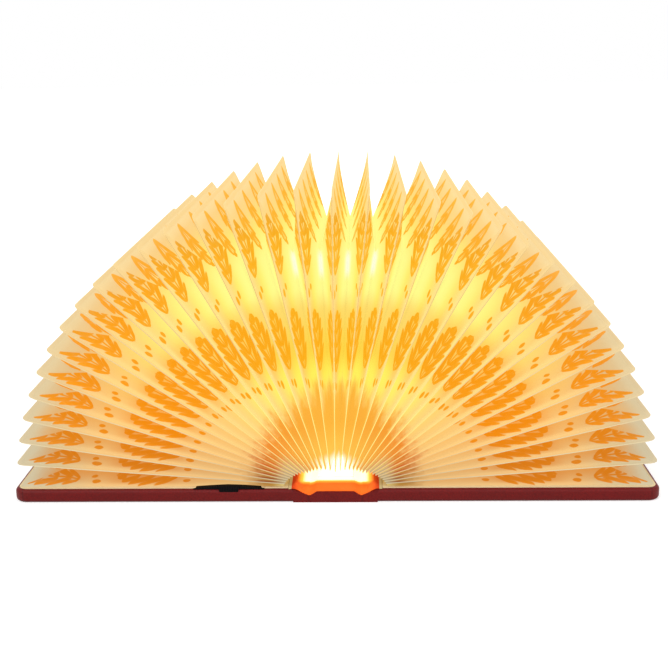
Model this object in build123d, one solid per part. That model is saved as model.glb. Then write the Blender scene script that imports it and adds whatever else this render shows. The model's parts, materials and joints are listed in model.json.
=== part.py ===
from build123d import *
import math
import os

# Folding book lamp, lying open on its covers. Two leather-bound covers are hinged on a spine
# that carries a light bar, and a fan of pleated paper leaves spans from cover to cover.
# Millimetres. X runs from the left cover to the right one, Y along the spine, Z up.
# The origin is on the table, in the middle of the book.

# ---- Covers
BOOK_LENGTH = 120.0        # head to tail, along the spine
COVER_WIDTH = 86.7         # hinge edge to fore-edge
COVER_THICK = 4.2
COVER_CORNER = 4.0         # outer corners, seen from above
EDGE_ROUND = 1.2           # leather pulled round the board's edges
LEATHER = 0.8
TURN_IN = 12.0             # leather folded over onto the inner face
TURN_IN_THICK = 0.6        # where it is pared thin
ENDPAPER_THICK = 0.2
ENDPAPER_MARGIN = 1.2      # leather left bare around the endpaper
ENDPAPER_START = 1.5       # from the cover's hinge edge to the endpaper

# ---- Spine and leather hinges
SPINE_WIDTH = 15.8
SPINE_THICK = 3.5
SPINE_SHOULDER = 2.1       # height at which the spine's sides turn in
SPINE_BEVEL = 2.2          # how far they turn in
SPINE_TURN_IN = 10.0       # leather folded over the ends of the spine and the hinges
HINGE_REACH = 12.0         # middle of the spine to a hinge axis
HINGE_TO_COVER = 1.0       # hinge axis to the cover's edge
CREASE_RADIUS = 0.45       # groove pressed into the leather on the hinge axis
LINER_THICK = 0.35
LINER_MARGIN = 0.4         # from the liner's ends to the spine's ends

# ---- Paper leaves
SIDE_LEAVES = 16           # on each side of the middle leaf
FORE_MARGIN = 0.6          # from the last leaf's outer edge to the cover's
LEAF_MARGIN = 1.0          # from a leaf's head or tail to the cover's
PAPER = 0.1                # one ply; a leaf is two plies, glued along its outer edge
SEAM = 1.5                 # width of that glued edge
FOLD_DEPTH = 22.0          # outer edge to the inner fold between two leaves
LEAF_CORNER = 2.6
FOLD_CORNER = 1.0          # the same corner on the inner fold
MIDDLE_TIP = 8.8           # hinge height to the middle leaf's lower end
COVER_TIP = 0.8            # the same beside the cover, before it is trimmed
TIP_POWER = 1.75           # how fast the lower ends drop from one to the other
SPINE_TRIM = 3.9           # least distance from a hinge axis, so that no leaf meets the spine
FOLD_TIP = 4.6             # the same for every inner fold
LAST_STACK = 4.6           # hinge axis to the last leaf when the book is shut
STACK_EVEN = 0.8           # share of even spacing in the shut stack
FAN_SPREAD = 0.22          # how much wider the fan opens in its middle than at the covers
FAN_POWER = 1.7
HEAD_STEPS = 2             # flat pieces that a twisted ply is made of, along a leaf's end
CORNER_STEPS = 3

# ---- Light bar
TRAY_WIDTH = 13.0
TRAY_GAP = 2.0             # from the tray's ends to the paper's inner folds
TRAY_FOOT = 11.0           # width of the base plate that stands on the spine
TRAY_FOOT_MARGIN = 11.0    # from the base plate's ends to the spine's
TRAY_FLOOR = 0.8
TRAY_WALL = 1.0
TRAY_HEIGHT = 6.7          # spine to the top of the walls
TRAY_RAISE = 0.4           # the trough's underside clears the liner
LENS_RISE = 6.2            # height of the frosted dome over the tray
LENS_WALL = 1.0
TONGUE_HEIGHT = 0.9        # low frosted ends of the lens
TONGUE_NARROWING = 1.0
BOARD_THICK = 1.0
BOARD_LEDGE = 0.4          # step in the tray's walls that carries the board
LED_SIZE = (3.5, 2.8, 0.7)
LED_COUNT = 8
LED_MARGIN = 4.2           # from the tray's end to the first emitter
BATTERY_SIZE = (10.0, 42.0, 4.6)
BATTERY_ROUND = 1.2
SENSOR_SIZE = (2.9, 1.6, 1.1)
SENSOR_GAP = 0.5           # from the last emitter
LEAD_DIAMETER = 1.0
LEAD_SIDES = 6
LEAD_SPACING = 3.0
LEAD_SLOT_MARGIN = 1.0     # around the leads, where they pass through the tray's floor
LEAD_DROP = 1.5            # height over that floor at which they turn down
LEAD_BENDS = (3.0, 1.0)
SCREW_RADIUS = 1.0
SCREW_HEAD = 1.9
SCREW_DEPTH = 2.2
CLEARANCE = 0.05

# ---- Charging port, in the far end of the spine
CHARGE_BOARD = (10.0, 34.6, 0.6)
SOCKET_SIZE = (7.5, 6.0, 2.3)
SOCKET_WALL = 0.3
SOCKET_ROUND = 0.6
SOCKET_DEPTH = 5.0
SOCKET_TONGUE = (4.2, 4.0, 0.6)
INDICATOR_RADIUS = 0.55
INDICATOR_LENGTH = 2.4
INDICATOR_LIFT = 0.2       # from the leather's inner face
INDICATOR_PLACE = 5.4      # from the middle of the spine

# ---- Cover magnets and the ribbon tab
MAGNET_RADIUS = 5.0
MAGNET_THICK = 1.5
MAGNET_INSET = 14.0        # fore-edge to a magnet's middle
MAGNET_SPACING = 84.0
TAB_WIDTH = 5.8
TAB_PLACE = 32.8           # middle of the spine to the middle of the tab
TAB_LENGTH = 9.0           # part that is glued under the endpaper
TAB_HEIGHT = 1.6           # folded end, over the cover
TAB_DROP = 0.9             # how far it hangs over the cover's edge
TAB_ROLL = 0.9

# ---- Worked out from the above
HINGE_HEIGHT = LEATHER
HALF_LENGTH = BOOK_LENGTH / 2
COVER_START = HINGE_REACH + HINGE_TO_COVER
COVER_END = COVER_START + COVER_WIDTH
LEAF_HALF = HALF_LENGTH - LEAF_MARGIN
LEAF_THICK = 2 * PAPER
COVER_PLACE = SIDE_LEAVES + 1
COVER_STACK = COVER_THICK + ENDPAPER_THICK - HINGE_HEIGHT
LEAF_WIDTH = COVER_END - FORE_MARGIN - HINGE_REACH - COVER_TIP
TRAY_LENGTH = 2 * (LEAF_HALF - FOLD_DEPTH - TRAY_GAP)
TRAY_FOOT_LENGTH = BOOK_LENGTH - 2 * TRAY_FOOT_MARGIN
LED_PITCH = (TRAY_LENGTH - 2 * LED_MARGIN - LED_SIZE[1]) / (LED_COUNT - 1)
BATTERY_START = TRAY_WALL - TRAY_LENGTH / 2
BATTERY_END = BATTERY_START + BATTERY_SIZE[1]
FLOOR_TOP = SPINE_THICK + TRAY_FLOOR
WALL_TOP = SPINE_THICK + TRAY_HEIGHT
BOARD_BOTTOM = WALL_TOP - BOARD_THICK
SOCKET_TOP = SPINE_THICK - CLEARANCE
LEAD_END = HALF_LENGTH - LEATHER - CHARGE_BOARD[1] + LEAD_SLOT_MARGIN + LEAD_DIAMETER / 2
SCREW_PLACES = (-(TRAY_LENGTH + TRAY_FOOT_LENGTH) / 4, (BATTERY_END + LEAD_END) / 2)


def mirrored(shape):
    return mirror(shape, about=Plane.YZ)


def bar(x, y, z):
    """A box from its lowest and highest value on each axis."""
    size = [pair[1] - pair[0] for pair in (x, y, z)]
    middle = [sum(pair) / 2 for pair in (x, y, z)]
    return Pos(*middle) * Box(*size)


def along_spine(points, half):
    """A prism along Y, from its outline in X and Z."""
    outline = make_face(Plane.XZ * Polyline(*points, close=True))
    return extrude(outline, amount=half, both=True)


def both_sides(points):
    """An outline that is the same left and right, from its right half, lowest point first."""
    return points + [(-x, z) for x, z in reversed(points)]


# ---- Covers

def cover_envelope():
    """The right cover with its leather on."""
    block = bar((COVER_START, COVER_END), (-HALF_LENGTH, HALF_LENGTH), (0, COVER_THICK))
    block = fillet(block.edges().filter_by(Axis.Z).sort_by(Axis.X)[-2:], COVER_CORNER)
    level = block.edges().filter_by(Axis.Z, reverse=True)
    outer = [edge for edge in level if edge.center().X > COVER_START + EDGE_ROUND]
    return fillet(outer, EDGE_ROUND)


def magnet_places():
    return [(COVER_END - MAGNET_INSET, side * MAGNET_SPACING / 2) for side in (-1, 1)]


def magnets(clearance=0.0):
    discs = [
        Pos(x, y, LEATHER + (MAGNET_THICK + clearance) / 2)
        * Cylinder(MAGNET_RADIUS + clearance, MAGNET_THICK + clearance)
        for x, y in magnet_places()
    ]
    return Compound(discs)


def cover_board():
    """Stiff board, thicker inside the frame of turned-in leather so that the face is level."""
    inner_end, inner_half = COVER_END - LEATHER, HALF_LENGTH - LEATHER
    board = bar(
        (COVER_START + LEATHER, inner_end),
        (-inner_half, inner_half),
        (LEATHER, COVER_THICK - TURN_IN_THICK),
    )
    corners = board.edges().filter_by(Axis.Z).sort_by(Axis.X)[-2:]
    board = fillet(corners, COVER_CORNER - LEATHER)
    filler_half = HALF_LENGTH - TURN_IN
    filler = bar(
        (COVER_START + LEATHER, COVER_END - TURN_IN),
        (-filler_half, filler_half),
        (LEATHER, COVER_THICK),
    )
    return board + filler


def endpaper():
    half = HALF_LENGTH - ENDPAPER_MARGIN
    sheet = bar(
        (COVER_START + ENDPAPER_START, COVER_END - ENDPAPER_MARGIN),
        (-half, half),
        (COVER_THICK, COVER_THICK + ENDPAPER_THICK),
    )
    corners = sheet.edges().filter_by(Axis.Z).sort_by(Axis.X)[-2:]
    return fillet(corners, COVER_CORNER - ENDPAPER_MARGIN)


def tab_strip(clearance=0.0):
    """The ribbon's glued end, level with the endpaper that is cut out around it."""
    reach = TAB_WIDTH / 2 + clearance
    front = -LEAF_HALF - CLEARANCE
    back = front + TAB_LENGTH + clearance
    level = (COVER_THICK, COVER_THICK + ENDPAPER_THICK)
    return bar((TAB_PLACE - reach, TAB_PLACE + reach), (front, back), level)


def pull_tab():
    """Short folded ribbon that sticks out between the left cover and the paper."""
    front = -LEAF_HALF - CLEARANCE
    roll = bar(
        (TAB_PLACE - TAB_WIDTH / 2, TAB_PLACE + TAB_WIDTH / 2),
        (front - TAB_ROLL, front),
        (COVER_THICK - TAB_DROP, COVER_THICK + TAB_HEIGHT),
    )
    tops = roll.edges().filter_by(Axis.X).sort_by(Axis.Z)[-2:]
    roll = fillet(tops, TAB_ROLL / 2 - CLEARANCE)
    return mirrored((roll + tab_strip()) - cover_envelope())


# ---- Spine, hinges and liner

def spine_outline(inset=0.0, top=SPINE_THICK):
    half = SPINE_WIDTH / 2 - inset
    slope = (SPINE_THICK - SPINE_SHOULDER) / SPINE_BEVEL
    reach = SPINE_WIDTH / 2 - SPINE_BEVEL + (SPINE_THICK - top) / slope - inset
    return both_sides([(half, inset), (half, SPINE_SHOULDER), (reach, top)])


def charge_board_space(clearance=0.0):
    """The charging board lies in the top of the spine, with its end round the socket."""
    width, length, thick = CHARGE_BOARD
    end = HALF_LENGTH - LEATHER - CLEARANCE
    half = width / 2 + clearance
    span = (end - length - clearance, end + clearance)
    return bar((-half, half), span, (SPINE_THICK - thick, SPINE_THICK))


def socket_space():
    """Room for the socket, open at the top of the spine."""
    width, length, height = SOCKET_SIZE
    half, back = width / 2 + CLEARANCE, HALF_LENGTH - length - CLEARANCE
    return bar((-half, half), (back, HALF_LENGTH), (SOCKET_TOP - height - CLEARANCE, SPINE_THICK))


def indicator(clearance=0.0):
    height = LEATHER + INDICATOR_LIFT + INDICATOR_RADIUS
    pin = Cylinder(INDICATOR_RADIUS + clearance, INDICATOR_LENGTH + clearance, rotation=(90, 0, 0))
    return Pos(INDICATOR_PLACE, HALF_LENGTH - INDICATOR_LENGTH / 2, height) * pin


def screw(place):
    head = SCREW_HEAD - SCREW_RADIUS
    top = Pos(0, place, FLOOR_TOP - head / 2) * Cone(SCREW_RADIUS, SCREW_HEAD, head)
    reach = TRAY_FLOOR + SCREW_DEPTH
    return top + Pos(0, place, FLOOR_TOP - reach / 2) * Cylinder(SCREW_RADIUS, reach)


def screw_hole(place):
    """Room for a screw: a countersink and a straight hole, wider all round by the clearance."""
    head = SCREW_HEAD - SCREW_RADIUS
    sink = Pos(0, place, FLOOR_TOP - head / 2) * Cone(
        SCREW_RADIUS + CLEARANCE, SCREW_HEAD + CLEARANCE, head
    )
    reach = TRAY_FLOOR + SCREW_DEPTH + CLEARANCE
    return sink + Pos(0, place, FLOOR_TOP - reach / 2) * Cylinder(SCREW_RADIUS + CLEARANCE, reach)


def port_space():
    return charge_board_space(CLEARANCE) + socket_space() + indicator(CLEARANCE)


def spine_core():
    """What the spine's leather wraps: board, thicker between the leather's turned-in ends."""
    under_ends = spine_outline(LEATHER, SPINE_THICK - TURN_IN_THICK)
    low = along_spine(under_ends, HALF_LENGTH - LEATHER)
    return low + along_spine(spine_outline(LEATHER), HALF_LENGTH - SPINE_TURN_IN)


def spine_board():
    board = spine_core() - port_space()
    for place in SCREW_PLACES:
        board -= screw_hole(place)
    return board


def spine_wrap():
    envelope = along_spine(spine_outline(), HALF_LENGTH)
    return envelope - spine_core() - port_space()


def hinge_leather():
    """Leather between the spine and the right cover: bare and creased on the hinge axis, and
    folded over at its two ends, where it fills the dip under the liner."""
    side, middle_half = SPINE_WIDTH / 2, HALF_LENGTH - SPINE_TURN_IN
    section = [(side, 0), (COVER_START, 0), (COVER_START, COVER_THICK), (side, SPINE_SHOULDER)]
    whole = along_spine(section, HALF_LENGTH)
    room = bar((side, COVER_START), (-middle_half, middle_half), (LEATHER, COVER_THICK))
    crease = Pos(HINGE_REACH, 0, HINGE_HEIGHT) * Cylinder(
        CREASE_RADIUS, 2 * middle_half, rotation=(90, 0, 0)
    )
    return whole - room - crease


def spine_liner():
    """Cloth that dips from the covers into the hinges and runs over the spine."""
    top_half = SPINE_WIDTH / 2 - SPINE_BEVEL
    under = [
        (COVER_START + ENDPAPER_START, COVER_THICK),
        (COVER_START, COVER_THICK),
        (SPINE_WIDTH / 2, SPINE_SHOULDER),
        (top_half, SPINE_THICK),
    ]
    over = [(x, z + LINER_THICK) for x, z in under]
    outline = under + [(-x, z) for x, z in reversed(under)]
    outline += [(-x, z) for x, z in over] + list(reversed(over))
    strip = along_spine(outline, HALF_LENGTH - LINER_MARGIN)
    reach = TRAY_FOOT / 2 + CLEARANCE
    window_half = TRAY_FOOT_LENGTH / 2 + CLEARANCE
    window = bar((-reach, reach), (-window_half, window_half), (0, SPINE_THICK + LINER_THICK))
    return strip - window


# ---- Light bar and charging port

def light_tray():
    foot_half, half = TRAY_FOOT_LENGTH / 2, TRAY_LENGTH / 2
    foot = bar((-TRAY_FOOT / 2, TRAY_FOOT / 2), (-foot_half, foot_half), (SPINE_THICK, FLOOR_TOP))
    trough = bar(
        (-TRAY_WIDTH / 2, TRAY_WIDTH / 2), (-half, half), (SPINE_THICK + TRAY_RAISE, WALL_TOP)
    )
    inner, inner_half = TRAY_WIDTH / 2 - TRAY_WALL, half - TRAY_WALL
    room = bar((-inner, inner), (-inner_half, inner_half), (FLOOR_TOP, WALL_TOP))
    step, step_half = inner + BOARD_LEDGE, inner_half + BOARD_LEDGE
    ledge = bar((-step, step), (-step_half, step_half), (BOARD_BOTTOM, WALL_TOP))
    tray = foot + trough - room - ledge
    for place in SCREW_PLACES:
        tray -= screw_hole(place)
    round_lead = LEAD_DIAMETER / 2 + LEAD_SLOT_MARGIN
    slot_half = LEAD_SPACING / 2 + round_lead
    slot_span = (LEAD_END - round_lead, LEAD_END + round_lead)
    return tray - bar((-slot_half, slot_half), slot_span, (SPINE_THICK, FLOOR_TOP))


def half_oval(half, rise, reach):
    """Half an oval on top of the tray's walls, run along the tray."""
    run = extrude(Plane.XZ * Ellipse(half, rise), amount=reach, both=True)
    above = bar((-half, half), (-reach, reach), (WALL_TOP, WALL_TOP + rise))
    return (Pos(0, 0, WALL_TOP) * run) & above


def light_diffuser():
    """Frosted lens: a dome on the tray's walls, with an apron and a low tongue at each end."""
    end = TRAY_LENGTH / 2
    lens = half_oval(TRAY_WIDTH / 2, LENS_RISE, end)
    lens -= half_oval(TRAY_WIDTH / 2 - LENS_WALL, LENS_RISE - LENS_WALL, end - LENS_WALL)
    foot, top = TRAY_FOOT / 2, FLOOR_TOP + TONGUE_HEIGHT
    section = both_sides([(foot, FLOOR_TOP), (foot - TONGUE_NARROWING, top)])
    tongues = along_spine(section, TRAY_FOOT_LENGTH / 2)
    tongues -= bar((-foot, foot), (-end, end), (FLOOR_TOP, top))
    for y in ((-end - LENS_WALL, -end), (end, end + LENS_WALL)):
        reach = foot - TONGUE_NARROWING
        lens += bar((-reach, reach), y, (FLOOR_TOP, WALL_TOP + LENS_WALL))
    return lens + tongues


def led_board():
    inner = TRAY_WIDTH / 2 - TRAY_WALL + BOARD_LEDGE - CLEARANCE
    half = TRAY_LENGTH / 2 - TRAY_WALL + BOARD_LEDGE - CLEARANCE
    return bar((-inner, inner), (-half, half), (BOARD_BOTTOM, WALL_TOP))


def led_emitters():
    width, length, height = LED_SIZE
    first = -(LED_COUNT - 1) * LED_PITCH / 2
    chip = chamfer(Box(width, length, height).edges().group_by(Axis.Z)[-1], height / 4)
    row = [Pos(0, first + i * LED_PITCH, WALL_TOP + height / 2) * chip for i in range(LED_COUNT)]
    return Compound(row)


def battery_cell():
    width, _, height = BATTERY_SIZE
    cell = bar(
        (-width / 2, width / 2), (BATTERY_START, BATTERY_END), (FLOOR_TOP, FLOOR_TOP + height)
    )
    return fillet(cell.edges().filter_by(Axis.Y), BATTERY_ROUND)


def battery_leads():
    """Two wires from the cell's end down through the tray to the charging board."""
    level = FLOOR_TOP + BATTERY_SIZE[2] / 2
    middle = (BATTERY_END + LEAD_END) / 2
    wires = []
    for side in (-1, 1):
        x = side * LEAD_SPACING / 2
        corner, foot = (x, LEAD_END, FLOOR_TOP + LEAD_DROP), (x, LEAD_END, SPINE_THICK)
        route = FilletPolyline(
            (x, BATTERY_END, level), (x, middle, level), corner, foot, radius=list(LEAD_BENDS)
        )
        outline = RegularPolygon(LEAD_DIAMETER / 2, LEAD_SIDES)
        section = Plane(origin=route @ 0, z_dir=route % 0) * outline
        wires.append(sweep(section, path=route))
    return Compound(wires)


def charge_board():
    return charge_board_space() - socket_space()


def usb_socket():
    width, length, height = SOCKET_SIZE
    half, bottom = width / 2, SOCKET_TOP - height
    shell = bar((-half, half), (HALF_LENGTH - length, HALF_LENGTH), (bottom, SOCKET_TOP))
    shell = fillet(shell.edges().filter_by(Axis.Y), SOCKET_ROUND)
    inner, back = half - SOCKET_WALL, HALF_LENGTH - SOCKET_DEPTH
    room = (bottom + SOCKET_WALL, SOCKET_TOP - SOCKET_WALL)
    mouth = bar((-inner, inner), (back, HALF_LENGTH), room)
    tongue_width, tongue_length, tongue_thick = SOCKET_TONGUE
    tongue = Pos(0, back + tongue_length / 2, bottom + height / 2) * Box(
        tongue_width, tongue_length, tongue_thick
    )
    return shell - mouth + tongue


def opening_sensor():
    width, length, height = SENSOR_SIZE
    place = (LED_COUNT - 1) * LED_PITCH / 2 + LED_SIZE[1] / 2 + SENSOR_GAP + length / 2
    body = Pos(0, place, WALL_TOP + height / 2) * Box(width, length, height)
    return chamfer(body.edges().group_by(Axis.Z)[-1], height / 4)


# ---- Paper leaves
# A place in the fan is a number: 0 is the middle leaf, 1 to SIDE_LEAVES are the leaves beside it
# and COVER_PLACE is the sheet on the cover. The inner folds lie halfway between.

def fan_angle(place):
    """Angle from upright, in radians."""
    share = place / COVER_PLACE
    return math.radians(90) * ((1 + FAN_SPREAD) * share - FAN_SPREAD * share**FAN_POWER)


def stack(place):
    """Distance from the hinge axis to the leaf's plane, which the fan keeps while it folds."""
    if place > SIDE_LEAVES:
        return LAST_STACK + (COVER_STACK - LAST_STACK) * (place - SIDE_LEAVES)
    left = 1 - place / SIDE_LEAVES
    return LAST_STACK + (HINGE_REACH - LAST_STACK) * (
        STACK_EVEN * left + (1 - STACK_EVEN) * left**3
    )


def leaf_start(place):
    """Where a leaf begins before it is trimmed. From here all leaves are one width."""
    return COVER_TIP + (MIDDLE_TIP - COVER_TIP) * (1 - place / COVER_PLACE) ** TIP_POWER


def leaf_tip(place, inset):
    """Where a leaf ends by the spine. The cut runs straight from its outer edge to the fold."""
    outer = max(leaf_start(place), SPINE_TRIM)
    return outer + (FOLD_TIP - outer) * inset / FOLD_DEPTH


def directions(side, place):
    """Along a leaf from the hinge, and across it towards the middle of the fan."""
    turn = fan_angle(place)
    along = Vector(side * math.sin(turn), 0, math.cos(turn))
    across = Vector(-side * math.cos(turn), 0, math.sin(turn))
    return along, across


def leaf_point(side, place, reach, y, lift):
    along, across = directions(side, place)
    hinge = Vector(side * HINGE_REACH, 0, HINGE_HEIGHT)
    return hinge + across * (stack(place) + lift) + along * reach + Vector(0, y, 0)


def edge_path(place, inset, corner_steps=1, head_steps=1):
    """Points (reach, y) along a leaf's three free edges, tail to head, set in from them."""
    corner = max(LEAF_CORNER - inset, FOLD_CORNER)
    far, half = leaf_start(place) + LEAF_WIDTH - inset, LEAF_HALF - inset
    tip = leaf_tip(place, inset)
    quarter = [math.radians(90) * i / corner_steps for i in range(corner_steps + 1)]
    turn = [
        (far - corner + corner * math.sin(a), -half + corner - corner * math.cos(a))
        for a in quarter
    ]
    tail = [(tip + (far - corner - tip) * i / head_steps, -half) for i in range(head_steps)]
    tail_side = tail + turn
    return tail_side + [(reach, -y) for reach, y in reversed(tail_side)]


def leaf(side, place):
    """The glued outer edge of one leaf, a flat U of two plies."""
    outer = edge_path(place, 0, corner_steps=CORNER_STEPS)
    inner = edge_path(place, SEAM)
    along, across = directions(side, place)
    hinge = Vector(side * HINGE_REACH, 0, HINGE_HEIGHT)
    plane = Plane(origin=hinge + across * stack(place), x_dir=along, z_dir=across)
    outline = make_face(plane * Polyline(*outer, *reversed(inner), close=True))
    return extrude(outline, amount=PAPER, both=True)


def ply(side, rim, fold):
    """One sheet from a leaf's glued edge to the inner fold beside it, made of flat triangles."""
    towards_cover = fold > rim
    at_rim = (-PAPER, 0) if towards_cover else (0, PAPER)
    at_fold = (0, PAPER) if towards_cover else (-PAPER, 0)
    outer = edge_path(rim, SEAM, head_steps=HEAD_STEPS)
    inner = edge_path(fold, FOLD_DEPTH, head_steps=HEAD_STEPS)
    rings = [
        [leaf_point(side, rim, *o, lift) for lift in at_rim]
        + [leaf_point(side, fold, *i, lift) for lift in reversed(at_fold)]
        for o, i in zip(outer, inner)
    ]
    start, end = rings[0], rings[-1]
    triangles = [(start[0], start[1], start[2]), (start[0], start[2], start[3])]
    triangles += [(end[0], end[2], end[1]), (end[0], end[3], end[2])]
    for here, there in zip(rings, rings[1:]):
        for i in range(len(here)):
            a, b, c, d = here[i], there[i], there[i - 1], here[i - 1]
            # Both faces of a twisted sheet are split along one diagonal, so it stays one ply thick.
            triangles += [(a, b, d), (b, c, d)] if i == 0 else [(a, b, c), (a, c, d)]
    sheet = Solid(Shell([Face(Wire.make_polygon(corners)) for corners in triangles]))
    return sheet if sheet.volume > 0 else Solid(sheet.wrapped.Reversed())


def pleats(side):
    """The folds of one half of the fan: two plies between each leaf and the next."""
    plies = []
    for place in range(COVER_PLACE):
        plies += [ply(side, place, place + 0.5), ply(side, place + 1, place + 0.5)]
    return Compound(plies)


def parts():
    envelope, board = cover_envelope(), cover_board()
    wrap, drilled = envelope - board, board - magnets(CLEARANCE)
    notch = mirrored(tab_strip(CLEARANCE))
    made = {
        "right_cover_wrap": wrap,
        "left_cover_wrap": mirrored(wrap),
        "right_cover_board": drilled,
        "left_cover_board": mirrored(drilled),
        "right_magnets": magnets(),
        "left_magnets": mirrored(magnets()),
        "right_endpaper": endpaper(),
        "left_endpaper": mirrored(endpaper()) - notch,
        "pull_tab": pull_tab(),
        "spine_board": spine_board(),
        "spine_wrap": spine_wrap(),
        "right_hinge_leather": hinge_leather(),
        "left_hinge_leather": mirrored(hinge_leather()),
        "spine_liner": spine_liner(),
        "light_tray": light_tray(),
        "light_diffuser": light_diffuser(),
        "led_board": led_board(),
        "led_emitters": led_emitters(),
        "opening_sensor": opening_sensor(),
        "battery_cell": battery_cell(),
        "battery_leads": battery_leads(),
        "charge_board": charge_board(),
        "usb_socket": usb_socket(),
        "indicator_led": indicator(),
        "module_screws": Compound([screw(place) for place in SCREW_PLACES]),
        "middle_leaf": leaf(1, 0),
        "left_pleats": pleats(-1),
        "right_pleats": pleats(1),
    }
    for place in range(1, SIDE_LEAVES + 1):
        made[f"left_leaf_{place:02d}"] = leaf(-1, place)
        made[f"right_leaf_{place:02d}"] = leaf(1, place)
    return made


os.makedirs("parts", exist_ok=True)
for name, shape in parts().items():
    export_step(shape, f"parts/{name}.step")
shut_gap = min(stack(place) - stack(place + 1) for place in range(COVER_PLACE)) - LEAF_THICK
print(f"least gap between leaves when the book is shut: {shut_gap:.3f} mm")
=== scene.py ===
# %% [markdown]
# # A folding book lamp
# The lamp is a small book that lies open on its covers. Its pages are a fan of pleated paper, and a
# light bar on the spine shines through it. The covers, the spine and the leaves' glued edges come
# from the construction model. This lesson gives them their finishes, and adds what bends: the
# pleats, the cloth over the spine, the leather hinges and a ribbon.

# %% Load the construction model
import json
import math

import bmesh
import bpy
from mathutils import Matrix, Vector


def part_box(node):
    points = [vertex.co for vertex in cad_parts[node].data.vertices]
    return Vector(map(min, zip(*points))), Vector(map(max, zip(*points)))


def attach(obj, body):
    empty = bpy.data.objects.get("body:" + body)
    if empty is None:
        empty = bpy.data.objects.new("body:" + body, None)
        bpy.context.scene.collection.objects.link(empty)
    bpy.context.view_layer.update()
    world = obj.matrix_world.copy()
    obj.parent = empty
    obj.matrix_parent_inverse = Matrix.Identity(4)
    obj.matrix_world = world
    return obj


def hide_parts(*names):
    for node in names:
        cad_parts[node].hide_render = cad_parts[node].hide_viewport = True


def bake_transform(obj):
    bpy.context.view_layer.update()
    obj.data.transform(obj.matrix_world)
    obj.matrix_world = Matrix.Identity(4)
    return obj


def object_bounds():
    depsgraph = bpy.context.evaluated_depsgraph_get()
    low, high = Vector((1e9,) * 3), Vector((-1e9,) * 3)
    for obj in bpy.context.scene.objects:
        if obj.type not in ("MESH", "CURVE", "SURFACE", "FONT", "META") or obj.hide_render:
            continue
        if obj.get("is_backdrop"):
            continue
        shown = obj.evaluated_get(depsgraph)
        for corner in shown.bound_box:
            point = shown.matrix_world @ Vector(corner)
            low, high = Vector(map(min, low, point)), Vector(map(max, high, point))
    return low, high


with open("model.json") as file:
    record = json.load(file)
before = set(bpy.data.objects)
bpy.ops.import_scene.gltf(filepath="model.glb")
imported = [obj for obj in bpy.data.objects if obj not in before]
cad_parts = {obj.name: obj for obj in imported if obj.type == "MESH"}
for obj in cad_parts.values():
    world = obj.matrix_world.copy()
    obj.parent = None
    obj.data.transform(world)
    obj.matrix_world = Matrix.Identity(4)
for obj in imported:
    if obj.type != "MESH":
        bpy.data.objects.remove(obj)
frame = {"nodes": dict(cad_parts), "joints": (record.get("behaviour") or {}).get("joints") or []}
nodes = frame["nodes"]
cad_low, cad_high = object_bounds()
MM = 0.001
print("size in mm:", [round(x / MM, 1) for x in cad_high - cad_low])

# %% [markdown]
# ## Camera
# The camera stands before the near end of the spine and looks slightly down. Its place, turn and
# focal length were worked out from where the covers' corners and the leaves' tips are in the
# picture.

# %% Camera
FRAME_PIXELS = 668
CAMERA_PLACE = Vector((8.4, -391.0, 139.0)) * MM
CAMERA_YAW, CAMERA_PITCH, CAMERA_ROLL = (math.radians(a) for a in (-1.42, 14.48, -0.71))
FOCAL_PIXELS = 1155.0
SENSOR = 36.0


def camera_turn(yaw, pitch, roll):
    """Camera axes as a matrix, from its heading, its tilt down and its roll."""
    ahead = Vector(
        (math.sin(yaw) * math.cos(pitch), math.cos(yaw) * math.cos(pitch), -math.sin(pitch))
    )
    right = Vector((math.cos(yaw), -math.sin(yaw), 0))
    up = right.cross(ahead)
    rolled_right = right * math.cos(roll) + up * math.sin(roll)
    rolled_up = up * math.cos(roll) - right * math.sin(roll)
    return Matrix((rolled_right, rolled_up, -ahead)).transposed().to_4x4()


camera_data = bpy.data.cameras.new("camera")
camera_data.sensor_width = SENSOR
camera_data.lens = FOCAL_PIXELS / FRAME_PIXELS * SENSOR
camera_data.clip_start = 0.01
camera = bpy.data.objects.new("camera", camera_data)
bpy.context.scene.collection.objects.link(camera)
camera.matrix_world = Matrix.Translation(CAMERA_PLACE) @ camera_turn(
    CAMERA_YAW, CAMERA_PITCH, CAMERA_ROLL
)
bpy.context.scene.camera = camera
print("lens in mm:", round(camera_data.lens, 1))

# %% [markdown]
# ## Shader maths as Python
# A finish is a sum of small sums: a mask times a colour, one minus a mask. `Wire` wraps a node's
# output so that such a sum is written as a Python expression, and each operator adds the node that
# it stands for. `Graph.node` adds every other kind of node. A `Finish` is the graph of a material.


# %% Wire, Graph and Finish
class Wire:
    """A node's output. Arithmetic on it adds Math nodes."""

    def __init__(self, graph, socket):
        self.graph = graph
        self.socket = socket

    def math(self, operation, *values):
        inputs = dict(enumerate((self, *values)))
        return self.graph.node("ShaderNodeMath", {"operation": operation}, inputs)

    def __add__(self, other):
        return self.math("ADD", other)

    def __radd__(self, other):
        return self.math("ADD", other)

    def __mul__(self, other):
        return self.math("MULTIPLY", other)

    def __rmul__(self, other):
        return self.math("MULTIPLY", other)

    def __sub__(self, other):
        return self.math("SUBTRACT", other)

    def __rsub__(self, other):
        return (self * -1.0).math("ADD", other)

    def __truediv__(self, other):
        return self.math("DIVIDE", other)

    def __abs__(self):
        return self.math("ABSOLUTE")

    def either(self, other):
        """The greater of two."""
        return self.math("MAXIMUM", other)

    def above(self, edge, soft):
        """0 below an edge and 1 above it, with a soft step of that width."""
        settings = {"interpolation_type": "SMOOTHSTEP"}
        inputs = {"Value": self, "From Min": edge - soft / 2, "From Max": edge + soft / 2}
        return self.graph.node("ShaderNodeMapRange", settings, inputs)

    def below(self, edge, soft):
        return 1.0 - self.above(edge, soft)


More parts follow.
